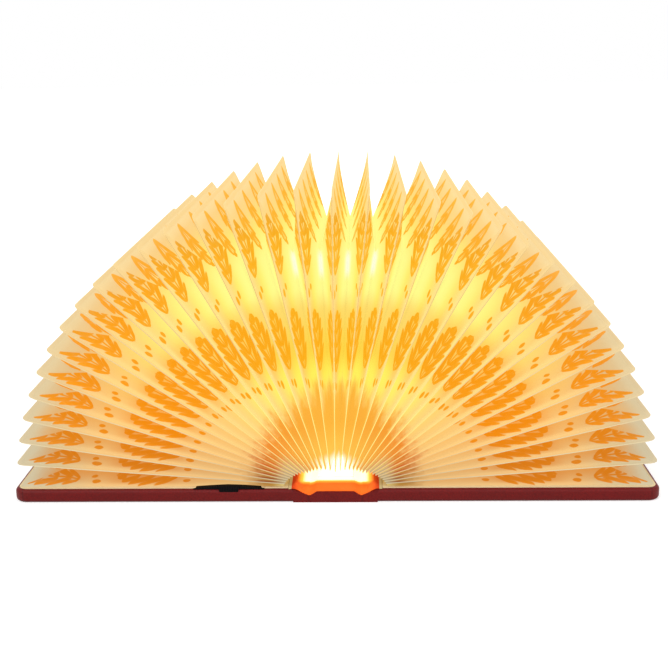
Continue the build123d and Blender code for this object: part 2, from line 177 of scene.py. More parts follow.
class Graph:
    """The nodes of a material or of the world."""

    def __init__(self, tree):
        self.tree = tree

    def node(self, kind, settings=None, inputs=None, output=0):
        """Adds a node: its settings first, then the values or wires of its inputs."""
        made = self.tree.nodes.new(kind)
        for key, value in (settings or {}).items():
            if key == "stops":
                self.set_stops(made.color_ramp, value)
            else:
                setattr(made, key, value)
        for key, value in (inputs or {}).items():
            self.plug(made.inputs[key], value)
        return Wire(self, made.outputs[output])

    def set_stops(self, ramp, stops):
        while len(ramp.elements) < len(stops):
            ramp.elements.new(1.0)
        for element, (place, color) in zip(ramp.elements, stops):
            element.position = place
            element.color = color

    def plug(self, socket, value):
        if isinstance(value, Wire):
            self.tree.links.new(value.socket, socket)
        else:
            socket.default_value = value

    def mix(self, mask, a, b):
        """Colour a where the mask is 0 and b where it is 1."""
        return self.node("ShaderNodeMix", {"data_type": "RGBA"}, {0: mask, 6: a, 7: b}, output=2)

    def ramp(self, value, *stops):
        return self.node("ShaderNodeValToRGB", {"stops": stops}, {0: value})

    def seen(self):
        """1 for what the camera sees, straight on, in a reflection or through glass."""
        outputs = self.node("ShaderNodeLightPath").socket.node.outputs
        names = ("Is Camera Ray", "Is Glossy Ray", "Is Transmission Ray")
        camera_ray, glossy, through = (Wire(self, outputs[name]) for name in names)
        return camera_ray.either(glossy).either(through)


class Finish(Graph):
    """One material and the nodes that feed its shader."""

    def __init__(self, name, color, roughness, bends=False, **constants):
        self.bends = bends
        self.material = bpy.data.materials.new(name)
        self.material.use_nodes = True
        super().__init__(self.material.node_tree)
        self.shader = self.tree.nodes["Principled BSDF"]
        self.feed("Base Color", color)
        self.feed("Roughness", roughness)
        for socket, value in constants.items():
            self.feed(socket.replace("_", " "), value)

    def feed(self, socket, value):
        self.plug(self.shader.inputs[socket], value)

    def place(self, scale=(1, 1, 1)):
        """Place on the object in metres, stretched by a scale. A bending piece keeps its own."""
        if self.bends:
            raw = self.node("ShaderNodeAttribute", {"attribute_name": "rest"}, output="Vector")
        else:
            raw = self.node("ShaderNodeTexCoord", output="Object")
        return self.node("ShaderNodeMapping", {}, {"Vector": raw, "Scale": scale})

    def parts(self, vector):
        """A vector's three numbers, as three wires."""
        split = self.node("ShaderNodeSeparateXYZ", {}, {0: vector})
        return [Wire(self, socket) for socket in split.socket.node.outputs]

    def noise(self, scale, detail=2.0, vector=None):
        inputs = {"Scale": scale, "Detail": detail, "Vector": vector or self.place()}
        return self.node("ShaderNodeTexNoise", {}, inputs)

    def bump(self, height, strength, distance):
        inputs = {"Height": height, "Strength": strength, "Distance": distance}
        self.feed("Normal", self.node("ShaderNodeBump", {}, inputs))


def tint(red, green, blue):
    """A screen colour, 0 to 255, as the linear colour that a shader takes."""
    parts = [c / 255 for c in (red, green, blue)]
    return (*[((c + 0.055) / 1.055) ** 2.4 if c > 0.04045 else c / 12.92 for c in parts], 1.0)


def dress(finish, *names):
    """Gives a finish to construction-model nodes."""
    for name in names:
        mesh = nodes[name].data
        mesh.materials.clear()
        mesh.materials.append(finish.material)


def keep_rest(piece):
    """Stores where each point is at rest, so that a pattern stays on a piece that bends."""
    rest = piece.data.attributes.new("rest", "FLOAT_VECTOR", "POINT")
    rest.data.foreach_set("vector", [c for vertex in piece.data.vertices for c in vertex.co])


# %% [markdown]
# ## Studio
# A pale floor and soft light from above and from both sides. The world and the floor look white to
# the camera and in reflections only, so the background is white without any more light on the
# lamp. The floor adds that white to its own grey, so the lamp's shadow stays on it. Far out, where
# less light falls on it, it adds more.

# %% Studio
bpy.context.scene.view_settings.view_transform = "Standard"
FLOOR_SIZE = 6.0
FLOOR_GREY = 0.72
NEAR_LIFT, FAR_LIFT = 0.42, 0.66
LIFT_EDGE, LIFT_SOFT = 0.6, 0.9
SKY_STRENGTH = 0.55
BLACK, WHITE = (0.0, 0.0, 0.0, 1.0), (1.0, 1.0, 1.0, 1.0)


def grey(level):
    return (level, level, level, 1.0)


def add_light(name, place, size, watts):
    """A square area light that faces the middle of the lamp."""
    data = bpy.data.lights.new(name, "AREA")
    data.size = size
    data.energy = watts
    light = bpy.data.objects.new(name, data)
    light.location = place
    towards = Vector((0, 0, cad_high.z / 2)) - Vector(place)
    light.rotation_euler = towards.to_track_quat("-Z", "Y").to_euler()
    bpy.context.scene.collection.objects.link(light)


LIGHT_SIZE = 0.9
add_light("key", (-0.7, -0.9, 1.1), LIGHT_SIZE, 13)
add_light("fill", (0.9, -0.8, 0.7), LIGHT_SIZE, 7)
add_light("back", (0.1, 1.1, 0.9), LIGHT_SIZE, 7)

world = bpy.data.worlds.new("studio")
bpy.context.scene.world = world
world.use_nodes = True
sky = Graph(world.node_tree)
sky.tree.nodes.remove(sky.tree.nodes["Background"])
soft = sky.node("ShaderNodeBackground", {}, {"Color": WHITE, "Strength": SKY_STRENGTH})
white = sky.node("ShaderNodeBackground", {}, {"Color": WHITE, "Strength": 1.0})
both = sky.node("ShaderNodeMixShader", {}, {0: sky.seen(), 1: soft, 2: white})
sky.plug(sky.tree.nodes["World Output"].inputs["Surface"], both)

bpy.ops.object.select_all(action="DESELECT")
bpy.ops.mesh.primitive_plane_add(size=FLOOR_SIZE, location=(0, 0, cad_low.z))
floor = bpy.context.object
floor.name = "floor"
bpy.ops.object.transform_apply(location=True, rotation=True, scale=True)
paint = Finish("floor", grey(FLOOR_GREY), 0.95, Specular_IOR_Level=0.0, Emission_Strength=1.0)
x, y, _ = paint.parts(paint.place())
away = (x * x + y * y).math("SQRT")
lift = paint.mix(away.above(LIFT_EDGE, LIFT_SOFT), grey(NEAR_LIFT), grey(FAR_LIFT))
paint.feed("Emission Color", paint.mix(paint.seen(), BLACK, lift))
floor.data.materials.append(paint.material)
floor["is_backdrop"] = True
print("lights, white world and floor are in place")

# %% [markdown]
# ## The fan
# Every leaf is two plies of paper, glued along three edges. Between one leaf and the next, the
# plies run inwards to a shared fold. A place in the fan is a number: 0 is the middle leaf, 16 the
# last leaf and 17 the sheet on the cover; the folds lie halfway between. These are the same few
# formulas as in the construction model, so the pleats meet its glued edges exactly.

# %% Fan geometry
SIDE_LEAVES = 16
COVER_PLACE = SIDE_LEAVES + 1
joints = {joint["name"]: joint for joint in frame["joints"]}
hinge = Vector(joints["right_cover_hinge"]["pos_m"])
leaf_low, leaf_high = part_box("middle_leaf")
cover_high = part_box("right_cover_wrap")[1]
PAPER = 0.1 * MM                 # one ply
SEAM = 1.5 * MM                  # width of a leaf's glued edge
FOLD_DEPTH = 22.0 * MM           # outer edge to the fold between two leaves
LEAF_CORNER = 2.6 * MM
FOLD_CORNER = 1.0 * MM
COVER_TIP = 0.8 * MM             # hinge axis to the last sheet's lower end
SPINE_TRIM = 3.9 * MM            # least distance of a leaf from the hinge axis
TIP_POWER = 1.75                 # how fast the lower ends drop towards the cover
FOLD_TIP = 4.6 * MM
LAST_STACK = 4.6 * MM            # hinge axis to the last leaf when the book is shut
COVER_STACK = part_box("right_endpaper")[1].z - hinge.z
STACK_EVEN = 0.8                 # share of even spacing between the leaves' planes
FAN_SPREAD = 0.22                # how much wider the fan opens in its middle
FAN_POWER = 1.7
LEAF_HALF = leaf_high.y
LEAF_WIDTH = leaf_high.z - leaf_low.z
MIDDLE_TIP = leaf_low.z - hinge.z


def fan_share(place):
    """Share of the cover's turn that the paper at a place makes."""
    share = place / COVER_PLACE
    return (1 + FAN_SPREAD) * share - FAN_SPREAD * share**FAN_POWER


def stack(place):
    """Distance from the hinge axis to the leaf's plane."""
    if place > SIDE_LEAVES:
        return LAST_STACK + (COVER_STACK - LAST_STACK) * (place - SIDE_LEAVES)
    left = 1 - place / SIDE_LEAVES
    return LAST_STACK + (hinge.x - LAST_STACK) * (STACK_EVEN * left + (1 - STACK_EVEN) * left**3)


def leaf_start(place):
    """Where a leaf begins before it is trimmed."""
    return COVER_TIP + (MIDDLE_TIP - COVER_TIP) * (1 - place / COVER_PLACE) ** TIP_POWER


def leaf_tip(place, inset):
    """Where a leaf ends by the spine."""
    outer = max(leaf_start(place), SPINE_TRIM)
    return outer + (FOLD_TIP - outer) * inset / FOLD_DEPTH


def leaf_point(side, place, reach, y, lift):
    """A point of the open fan, at a reach along its leaf and a lift off the leaf's plane."""
    turn = math.radians(90) * fan_share(place)
    along = Vector((side * math.sin(turn), 0, math.cos(turn)))
    across = Vector((-side * math.cos(turn), 0, math.sin(turn)))
    root = Vector((side * hinge.x, y, hinge.z))
    return root + across * (stack(place) + lift) + along * reach


print("leaf width in mm:", round(LEAF_WIDTH / MM, 1), "tip:", round(MIDDLE_TIP / MM, 2))

# %% [markdown]
# ## Pleats
# A ply is a band round three sides of its leaf. It is computed, not modelled by hand, because its
# rows have to lie on the leaf's formula; it is made as a grid, round the leaf and from rim to fold,
# and given one ply's thickness. Two UV maps go with it. `Print` has the place along the leaf and
# in from its edge, in units of 10 mm, and shifts the band along the outer edge by 20 units, so that
# one pattern can tell the sides apart. `Light` has the distance from the light bar and how far up
# the place is from there, for the glow; the second is negative on the plies that face the middle.
# On the left cover the last ply is raised a little where it runs over the ribbon.

# %% Pleats
HEAD_STEPS, CORNER_STEPS, EDGE_STEPS, DEPTH_STEPS = 14, 5, 18, 6
BOW = 1.35                       # above 1, a ply leaves its rim flat and then bends away
UNIT = 10 * MM
EDGE_SHIFT = 20.0
EDGE_FROM = 13.0                 # `Print` is above this on the band along the outer edge only
LEAST_UP = 0.02                  # keeps the sign of `Light` on the lowest plies
LAMP = Vector((0, 0, 6.0)) * MM
RIBBON_PLACE = 32.8 * MM         # middle of the spine to the middle of the ribbon
RIBBON_HALF, RIBBON_FLANK = 3.2, 11.0
RIBBON_RISE = 0.72 * MM
RISE_START, RISE_LENGTH = 46, 13         # from the middle of the book towards the reader, in mm


def smooth_step(x):
    x = min(max(x, 0.0), 1.0)
    return x * x * (3 - 2 * x)


def ribbon_lift(x, y):
    """How far the sheet on the left cover is raised where it runs over the ribbon."""
    beside = abs(x + RIBBON_PLACE) / MM
    rise = min(max((RIBBON_FLANK - beside) / (RIBBON_FLANK - RIBBON_HALF), 0), 1)
    return RIBBON_RISE * rise * smooth_step((-y / MM - RISE_START) / RISE_LENGTH)


def edge_path(place, inset):
    """Points (reach, y) along a leaf's three free edges, set in from them."""
    corner = max(LEAF_CORNER - inset, FOLD_CORNER)
    far, half = leaf_start(place) + LEAF_WIDTH - inset, LEAF_HALF - inset
    tip = leaf_tip(place, inset)
    straight = far - corner - tip
    head = [(tip + straight * i / HEAD_STEPS, -half) for i in range(HEAD_STEPS + 1)]
    turns = [math.radians(90) * i / CORNER_STEPS for i in range(1, CORNER_STEPS)]
    bend = [
        (far - corner * (1 - math.sin(a)), -half + corner * (1 - math.cos(a))) for a in turns
    ]
    middle = half - corner
    edge = [(far, -middle + 2 * middle * i / EDGE_STEPS) for i in range(EDGE_STEPS + 1)]
    back = [(reach, -y) for reach, y in reversed(head + bend)]
    return head + bend + edge + back


def add_ply(build, side, rim, fold):
    """Adds one ply to a mesh that is being built."""
    mesh, shares, to_print, to_light = build
    outer, inner = edge_path(rim, SEAM), edge_path(fold, FOLD_DEPTH)
    towards_cover = fold > rim
    rim_lifts = (-PAPER, 0.0) if towards_cover else (0.0, PAPER)
    fold_lifts = (0.0, PAPER) if towards_cover else (-PAPER, 0.0)
    across = leaf_point(side, rim, 0, 0, 1) - leaf_point(side, rim, 0, 0, 0)
    grids = []
    for face in (0, 1):
        grid = []
        for (o_reach, o_y), (i_reach, i_y) in zip(outer, inner):
            row = []
            start = leaf_point(side, rim, o_reach, o_y, rim_lifts[face])
            if rim == COVER_PLACE:
                start.z += ribbon_lift(start.x, start.y)
            end = leaf_point(side, fold, i_reach, i_y, fold_lifts[face])
            gap = (end - start).dot(across)
            for j in range(DEPTH_STEPS + 1):
                t = j / DEPTH_STEPS
                vertex = mesh.verts.new(start.lerp(end, t) + across * gap * (t**BOW - t))
                vertex[shares] = fan_share(rim + (fold - rim) * t)
                row.append(vertex)
            grid.append(row)
        grids.append(grid)
    flip = (side > 0) != towards_cover
    last, deep = len(outer) - 1, DEPTH_STEPS
    facing = 1 if towards_cover else -1
    first_edge = HEAD_STEPS + CORNER_STEPS

    def quad(*corners):
        corners = corners[::-1] if flip else corners
        made = mesh.faces.new([grids[face][i][j] for face, i, j in corners])
        made.smooth = True
        on_edge = all(first_edge <= i <= first_edge + EDGE_STEPS for _, i, _ in corners)
        for loop, (_, i, j) in zip(made.loops, corners):
            reach, y = (o + (n - o) * j / deep for o, n in zip(outer[i], inner[i]))
            inset = SEAM + (FOLD_DEPTH - SEAM) * j / deep
            away = loop.vert.co - LAMP
            away.y = 0
            along = EDGE_SHIFT + y / UNIT if on_edge else reach / UNIT
            loop[to_print].uv = (along, inset / UNIT)
            up = max(away.z / away.length, LEAST_UP)
            loop[to_light].uv = (away.length / UNIT, up * facing)

    for i in range(last):
        for j in range(deep):
            quad((0, i, j), (0, i + 1, j), (0, i + 1, j + 1), (0, i, j + 1))
            quad((1, i, j), (1, i, j + 1), (1, i + 1, j + 1), (1, i + 1, j))
        quad((0, i + 1, 0), (0, i, 0), (1, i, 0), (1, i + 1, 0))
        quad((0, i, deep), (0, i + 1, deep), (1, i + 1, deep), (1, i, deep))
    for j in range(deep):
        quad((0, 0, j), (0, 0, j + 1), (1, 0, j + 1), (1, 0, j))
        quad((0, last, j + 1), (0, last, j), (1, last, j), (1, last, j + 1))


def pleats(name, side):
    """All plies of one half of the fan, as one piece."""
    mesh = bmesh.new()
    shares = mesh.verts.layers.float.new("share")
    to_print, to_light = mesh.loops.layers.uv.new("Print"), mesh.loops.layers.uv.new("Light")
    for place in range(COVER_PLACE):
        add_ply((mesh, shares, to_print, to_light), side, place, place + 0.5)
        add_ply((mesh, shares, to_print, to_light), side, place + 1, place + 0.5)
    data = bpy.data.meshes.new(name)
    mesh.to_mesh(data)
    mesh.free()
    piece = bpy.data.objects.new(name, data)
    bpy.context.scene.collection.objects.link(piece)
    return piece


# %% [markdown]
# ## Lit paper
# Lit paper has two colours at once: what it reflects, and what the light bar sends through it.
# Both come from one colour here, which is painted light: it is worked out from how far from the
# light a place is and how far up. By its glued edges the painted light makes the paper peach, and
# beige far out. In the deep folds over the light it is painted bright yellow, and low at the sides
# the folds are painted orange, as shade. An orange wash is printed by the spine, and its colour is
# painted lighter over the light and darker low at the sides. A ramp says how a colour changes with
# height, and masks lay the colours over each other.

# %% Lit paper's colours
BASE_SHARE = 0.3                 # of the colour that the paper reflects
EMISSION = 0.72                  # strength of the light that comes through
OUTER_START, ENDS_START = 8.1, 9.0      # from the light bar, in units of 10 mm
WASH_END, BARE_END = 2.55, 1.75


def paper_by_edge(finish, up, far):
    """Colour of a ply by its glued edge, painted light from how far up and how far away from the
    light it is: warmer near the light, greyer low at the sides, beige far out.
    """
    near = finish.ramp(
        up,
        (0.05, tint(234, 192, 128)),
        (0.3, tint(249, 205, 130)),
        (0.5, tint(252, 214, 134)),
        (0.75, tint(253, 226, 140)),
        (1.0, tint(253, 221, 138)),
    )
    outer = finish.ramp(
        up,
        (0.05, tint(205, 190, 148)),
        (0.3, tint(222, 190, 138)),
        (0.55, tint(242, 200, 130)),
        (1.0, tint(251, 214, 138)),
    )
    ends = finish.ramp(
        up,
        (0.05, tint(204, 194, 164)),
        (0.4, tint(222, 204, 160)),
        (0.9, tint(242, 214, 154)),
    )
    beige = finish.mix(far.above(ENDS_START, 1.2) * 0.85, outer, ends)
    return finish.mix(far.above(OUTER_START, 1.8) * 0.9, near, beige)


def wash(finish, color, far, up, cloud):
    """The printed wash by the spine, with painted light: orange over the light, red-brown in painted
    shade and then grey bare paper in painted shade low at the sides.
    """
    wash_color = finish.ramp(
        up,
        (0.05, tint(150, 70, 24)),
        (0.25, tint(206, 92, 22)),
        (0.5, tint(242, 142, 30)),
        (1.0, tint(250, 190, 60)),
    )
    # Low at the sides by the spine the paper is bare, and painted grey, as shade.
    bare_in_shade = finish.ramp(up, (0.03, tint(186, 172, 138)), (0.35, tint(206, 180, 138)))
    washed = finish.mix(far.below(BARE_END, 0.5) * up.below(0.42, 0.3), wash_color, bare_in_shade)
    return finish.mix((far + cloud * 1.4).below(WASH_END, 0.9) * 0.9, color, washed)


def light_up(finish, color):
    """Feeds a lit colour: partly as what the paper reflects, partly as emission, painted light that
    stands for what the light bar sends through it.
    """
    finish.feed("Base Color", finish.mix(1.0 - BASE_SHARE, color, BLACK))
    finish.feed("Emission Color", color)
    finish.feed("Emission Strength", EMISSION)


def unprinted(paper, far, facing, inset, cloud):
    """The paper without its print, as painted light: by its glued edge, in the folds and in the
    glare.
    """
    up = abs(facing)
    fold_light_and_shade = paper.ramp(
        up,
        (0.05, tint(230, 162, 82)),
        (0.28, tint(248, 190, 100)),
        (0.5, tint(254, 222, 122)),
        (0.72, tint(255, 242, 126)),
        (1.0, tint(255, 242, 100)),
    )
    # Deep in the folds the colour is a painted glow over the light and painted orange shade low at
    # the sides, less of it on the plies that face the cover.
    over_light = far.above(2.5, 1.2) * far.below(7.8, 2.6)
    low = up.below(0.28, 0.25)
    deep = (inset + cloud * 0.5 - facing.above(0.1, 0.2) * 0.3).above(0.8, 1.3)
    plain = paper.mix(deep * over_light.either(low), paper_by_edge(paper, up, far), fold_light_and_shade)
    glare = deep * inset.above(1.3, 1.2) * up.above(0.7, 0.5)
    glare = glare * far.above(4.5, 1.8) * far.below(7.5, 1.2)
    return paper.mix(glare * 0.75, plain, tint(255, 254, 166))


FLAME_WIDTH, FLAME_HEIGHT = 1.1, 0.5     # how far the glow spreads to the sides and up, squared
SPOT_PLACE = 6.9                         # along a leaf


def add_flame(paper, color, along, inset, far, up):
    """The bright glow low over the light bar, and a small bright spot in each deep middle fold."""
    rise = far * up
    side = (far * far - rise * rise).either(0.0)
    height = rise + inset * 0.3
    away = (side / FLAME_WIDTH + height * height / FLAME_HEIGHT).math("SQRT")
    color = paper.mix(away.below(2.0, 1.8) * 0.5, color, tint(255, 222, 104))
    on_ply = inset.above(0.35, 0.3)
    color = paper.mix(away.below(1.1, 0.45) * on_ply, color, tint(255, 255, 228))
    spot = abs(along - SPOT_PLACE).below(0.36, 0.45) * inset.above(1.95, 0.4) * up.above(0.972, 0.02)
    return paper.mix(spot, color, tint(255, 255, 226))


# %% [markdown]
# ## Print
# The print is a plain pattern of its own: a spray of leaves near each leaf's outer edge, a wider
# one further in, berries between them, and small sprays along the outer edge. A spray is worked
# out from two coordinates, along its stem and across it, with leaflets that repeat along the stem
# and get shorter towards its ends. Noise shifts the outlines and thins the ink, as in a real print.

# %% Print
LEAFLET_FULLNESS = 2.1
STEM_HALF = 0.05
MAX_INK = 0.97
BERRIES = ((6.3, 0.5, 0.14), (6.42, 0.85, 0.11), (3.45, 0.55, 0.12), (3.3, 0.9, 0.14))
EDGE_SPRAYS = 0.4                # sprays to a unit of the outer edge


def spray(along, across, middle, length, width, period, bend, slant=1.0):
    """A spray's mask: a curved stem with almond leaflets on both sides."""
    s = along - middle
    t = across - bend * s * s
    share = s / (length / 2)
    reach = (1.0 - share * share).either(0.0).math("POWER", 0.6) * width
    away = abs(t)
    q = away / (reach + 0.001)
    phase = abs(((s - away * slant) / period).math("FRACT") - 0.5)
    almond = LEAFLET_FULLNESS * q * (1.0 - q)
    leaflet = (almond - phase).above(0.0, 0.12) * (1.0 - q).above(0.0, 0.06)
    stem = (STEM_HALF - away).above(0.0, 0.03) * (length / 2 - abs(s)).above(0.0, 0.08)
    return leaflet.either(stem)


def berry(along, across, middle, depth, radius):
    s, t = along - middle, across - depth
    return (radius * radius - s * s - t * t).above(0.0, radius * radius * 0.5)


def end_print(along, inset):
    """Mask of the print on a leaf's head and tail ends."""
    outer = spray(along, inset - 0.85, 7.8, 1.9, width=0.66, period=0.42, bend=-0.22)
    middle = spray(along, inset - 1.0, 4.75, 1.95, width=0.88, period=0.46, bend=-0.08)
    mask = outer.either(middle)
    for place, depth, radius in BERRIES:
        mask = mask.either(berry(along, inset, place, depth, radius))
    return mask


def edge_print(along, inset, wobble):
    """Mask of the print on the band along a leaf's outer edge."""
    row = ((along * EDGE_SPRAYS).math("FRACT") - 0.5) / EDGE_SPRAYS
    return spray(inset, row + wobble, 1.05, 1.7, width=0.78, period=0.50, bend=0.10)


# %% Paper finish
def paper_finish():
    paper = Finish("lit_paper", WHITE, 0.75, bends=True, Specular_IOR_Level=0.12)
    along, inset, _ = paper.parts(paper.node("ShaderNodeUVMap", {"uv_map": "Print"}))
    far, facing, _ = paper.parts(paper.node("ShaderNodeUVMap", {"uv_map": "Light"}))
    up = abs(facing)
    grain = paper.node("ShaderNodeCombineXYZ", {}, {0: along, 1: inset, 2: facing * 31.0})
    cloud = paper.noise(0.9, 3.0, grain) - 0.5
    mottle = paper.noise(3.2, 3.0, grain) - 0.5
    wobble = (paper.noise(2.6, 2.0, grain) - 0.5) * 0.16
    on_edge = along.above(EDGE_FROM, 0.2)
    on_head = 1.0 - on_edge
    a, v = along + wobble, inset + wobble * 0.6

    strokes = paper.noise(5.0, 3.0, grain) * 0.4 + 0.76
    mask = on_head * end_print(a, v) + on_edge * edge_print(along, v, wobble)
    ink = (mask * strokes).math("MINIMUM", MAX_INK)
    # The ink's colour is painted light too: brighter high up over the light, darker low at the
    # sides.
    ink_color = paper.ramp(
        up,
        (0.05, tint(222, 132, 22)),
        (0.3, tint(245, 152, 12)),
        (0.6, tint(249, 166, 20)),
        (1.0, tint(249, 182, 26)),
    )
    # Far out along the leaf the ink is painted darker, where less light comes through.
    ink_less_light = (a + mottle).above(8.4, 1.6) * on_head * 0.45
    ink_color = paper.mix(ink_less_light, ink_color, tint(206, 138, 30))
    halo = a.above(3.7, 0.9) * a.below(5.8, 0.8) * on_head * inset.above(0.35, 0.4)

    color = paper.mix(halo * 0.42, unprinted(paper, far, facing, inset, cloud), ink_color)
    color = wash(paper, color, far + mottle * 0.7, up, cloud)
    color = paper.mix(ink, color, ink_color)
    light_up(paper, add_flame(paper, color, along, inset, far, up))
    paper.bump(paper.noise(60.0, 3.0, grain), 0.25, 0.0002)
    return paper


paper = paper_finish()
print("paper finish has", len(paper.tree.nodes), "nodes")

# %% [markdown]
# ## The pleat pieces
# Each half of the fan is one piece with the lit paper, in place of the construction model's pleats.
# Along the fan, each place turns by its own share of the cover's angle, as the leaves do; that share
# is worked out for each point as the piece is built, and then taken off again.

# %% Pleat pieces
for name, side in (("left", -1), ("right", 1)):
    piece = pleats(f"{name}_shade", side)
    piece.data.materials.append(paper.material)
    piece.data.attributes.remove(piece.data.attributes["share"])
    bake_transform(piece)
    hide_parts(f"{name}_pleats")
    print(piece.name, "faces:", len(piece.data.polygons))

# %% [markdown]
# ## Glued edges
# The glued edges are the construction model's own. They get the plies' painted light, worked out
# from their place, so that only a fine line shows where two plies end together. That line along the
# paper's cut edge is painted light too: bright yellow high up near the light bar, grey low beside
# it, and beige far out.

# %% Glued edges
LINE_WIDTH = 0.025               # in units of 10 mm, from the paper's cut edge
rims = Finish("glued_edge", WHITE, 0.7, Specular_IOR_Level=0.12)
x, y, z = (part / UNIT for part in rims.parts(rims.place()))
height = z - LAMP.z / UNIT
far = (x * x + height * height).math("SQRT")
up = (height / far).either(0.0)
cloud = rims.noise(90.0, 3.0) - 0.5
color = wash(rims, paper_by_edge(rims, up, far), far, up, cloud)
# The line along the cut edge is painted light, lighter or darker by the light's distance and height.
lit_line_far = rims.ramp(
    up,
    (0.03, tint(222, 208, 170)),
    (0.5, tint(232, 206, 152)),
    (1.0, tint(226, 188, 116)),
)
lit_line_near = rims.ramp(
    up,
    (0.03, tint(200, 186, 150)),
    (0.3, tint(238, 196, 128)),
    (0.7, tint(255, 236, 140)),
)
line = rims.mix(far.above(4.2, 2.6), lit_line_near, lit_line_far)
color = rims.mix(abs(y).above(LEAF_HALF / UNIT - LINE_WIDTH, 0.015), color, line)
light_up(rims, color)
rims.bump(rims.noise(900.0, 3.0), 0.2, 0.0002)
leaf_names = [f"{s}_leaf_{k:02d}" for s in ("left", "right") for k in range(1, SIDE_LEAVES + 1)]
dress(rims, "middle_leaf", *leaf_names)
print("leaves dressed:", len(leaf_names) + 1)

# %% [markdown]
# ## Leather
# The covers and the spine are bound in dark red imitation leather: a fine pebbled grain, a little
# darker in its pores and glossier where it is rubbed. It is creased where its corners are folded in
# and where a cover turns, and a thin line of painted shade darkens each crease. The hinges are the
# same sheet, but they bend, so their grain is tied to where each point is at rest.


# %% Leather
CORNER_FOLD, FOLD_FROM = cover_high.x - 3.0 * MM, 58.5 * MM
HINGE_CREASE = 8.3 * MM          # from the middle of the spine
PORE_EDGE, PORE_SOFT = 0.09, 0.14


def leather_finish(name, bends):
    leather = Finish(name, tint(104, 17, 18), 0.5, bends=bends, Specular_IOR_Level=0.16)
    pebbles = leather.node(
        "ShaderNodeTexVoronoi",
        {"feature": "DISTANCE_TO_EDGE"},
        {"Vector": leather.place(), "Scale": 1300.0},
    )
    pores = pebbles.below(PORE_EDGE, PORE_SOFT)
    patches = leather.noise(70.0, 4.0)
    fine = leather.noise(3000.0, 2.0)
    color = leather.mix(patches, tint(94, 14, 15), tint(116, 20, 20))
    color = leather.mix(pores * 0.35, color, tint(60, 8, 12))
    x, y, _ = leather.parts(leather.place())
    # Thin dark lines of painted shade along the creases: where a hinge turns, and where the cover's
    # corners are folded in.
    if bends:
        crease_shade = abs(abs(x) - HINGE_CREASE).below(0.0003, 0.0005) * 0.6
    else:
        crease_shade = abs(abs(x) - CORNER_FOLD).below(0.0001, 0.00015) * abs(y).above(FOLD_FROM, 0.0002)
    color = leather.mix(crease_shade * 0.7, color, tint(46, 6, 9))
    leather.feed("Base Color", color)
    leather.feed("Roughness", patches * 0.25 + 0.38)
    leather.bump(pebbles.math("MINIMUM", 0.14) * 5.0 + fine * 0.25, 0.3, 0.00018)
    return leather


leather = leather_finish("red_leather", False)
dress(leather, "left_cover_wrap", "right_cover_wrap", "spine_wrap")

# %% [markdown]
# ## Hinges
# The strip of leather between the spine and a cover has the right shape already, but it needs
# edges across it before it can bend. So it is copied, its loose triangles are merged, and it is
# cut by a row of planes along the spine.

# %% Hinges
HINGE_CUTS = 9
soft_leather = leather_finish("soft_leather", True)


def copy_node(name, new_name):
    """A copy of a construction-model node, merged so that it can be edited."""
    piece = bpy.data.objects.new(new_name, nodes[name].data.copy())
    bpy.context.scene.collection.objects.link(piece)
    bpy.ops.object.select_all(action="DESELECT")
    piece.select_set(True)
    bpy.context.view_layer.objects.active = piece
    bpy.ops.object.mode_set(mode="EDIT")
    bpy.ops.mesh.select_all(action="SELECT")
    bpy.ops.mesh.remove_doubles(threshold=0.00001)
    bpy.ops.object.mode_set(mode="OBJECT")
    return piece


for name, side in (("left", -1), ("right", 1)):
    piece = copy_node(f"{name}_hinge_leather", f"{name}_hinge")
    low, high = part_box(f"{name}_hinge_leather")
    bpy.ops.object.mode_set(mode="EDIT")
    for i in range(1, HINGE_CUTS + 1):
        bpy.ops.mesh.select_all(action="SELECT")
        x = low.x + (high.x - low.x) * i / (HINGE_CUTS + 1)
        bpy.ops.mesh.bisect(plane_co=(x, 0, 0), plane_no=(1, 0, 0))
    bpy.ops.object.mode_set(mode="OBJECT")
    keep_rest(piece)
    piece.data.materials.clear()
    piece.data.materials.append(soft_leather.material)
    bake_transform(piece)
    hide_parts(f"{name}_hinge_leather")
    print(piece.name, "faces:", len(piece.data.polygons))

# %% [markdown]
# ## Liner
# An orange cloth covers the spine from inside. It dips into each hinge, rises over the cover's edge
# in a soft roll and hangs a little slack; at its ends the roll is a small knob. Each half is a grid
# whose rows and columns are put where the cloth bends, moved to height, with a window for the light
# bar's foot, and then given its thickness. Solidify keeps the cloth equally thick in its bends. The
# cloth's light is painted: by the lens it is painted white, lit through, with warm yellow round
# that, and elsewhere it has a dim orange glow; the roll's outer side is painted darker, as shade.
# Its outer millimetre has the paper's colour, because the sheet on the cover is pasted over it.

# %% Liner
CLOTH = 0.33 * MM
WINDOW_HALF_WIDTH = 5.6 * MM
WINDOW_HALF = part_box("light_tray")[1].y + 0.1 * MM
LINER_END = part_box("spine_liner")[1].y / MM
LINER_X = [0, 1.4, 2.8, 4.2, 5.0, 5.6, 6.0, 6.5, 7.0, 7.5, 7.9, 8.3, 8.8, 9.4, 10.0, 10.6]
LINER_X += [11.2, 11.8, 12.3, 12.8, 13.2, 13.6, 13.9, 14.1, 14.4]
FROM_END = (0, 0.25, 0.5, 0.75, 1, 1.8, 2.8, 4, 5.5, 7.5)
LINER_Y = [LINER_END - step for step in FROM_END]
LINER_Y += [WINDOW_HALF / MM, 46, 42, 37, 32, 27, 22, 17, 12, 7, 2.5]
LINER_FALL = ((0, 3.85), (5.3, 3.85), (6.1, 3.72), (7.3, 2.82), (7.9, 2.5), (8.5, 2.66))
LINER_FALL += ((12.7, 4.48), (13.2, 4.62), (15.0, 4.55))
ROLL_PLACE, ROLL_REACH, ROLL_HEIGHT = 11.7, 2.0, 0.7
KNOB_HEIGHT, KNOB_LENGTH = 1.2, 5.0      # how much higher the roll is at its ends
DIP_PLACE, DIP_WIDTH, DIP_RISE = 8.2, 1.3, 0.7


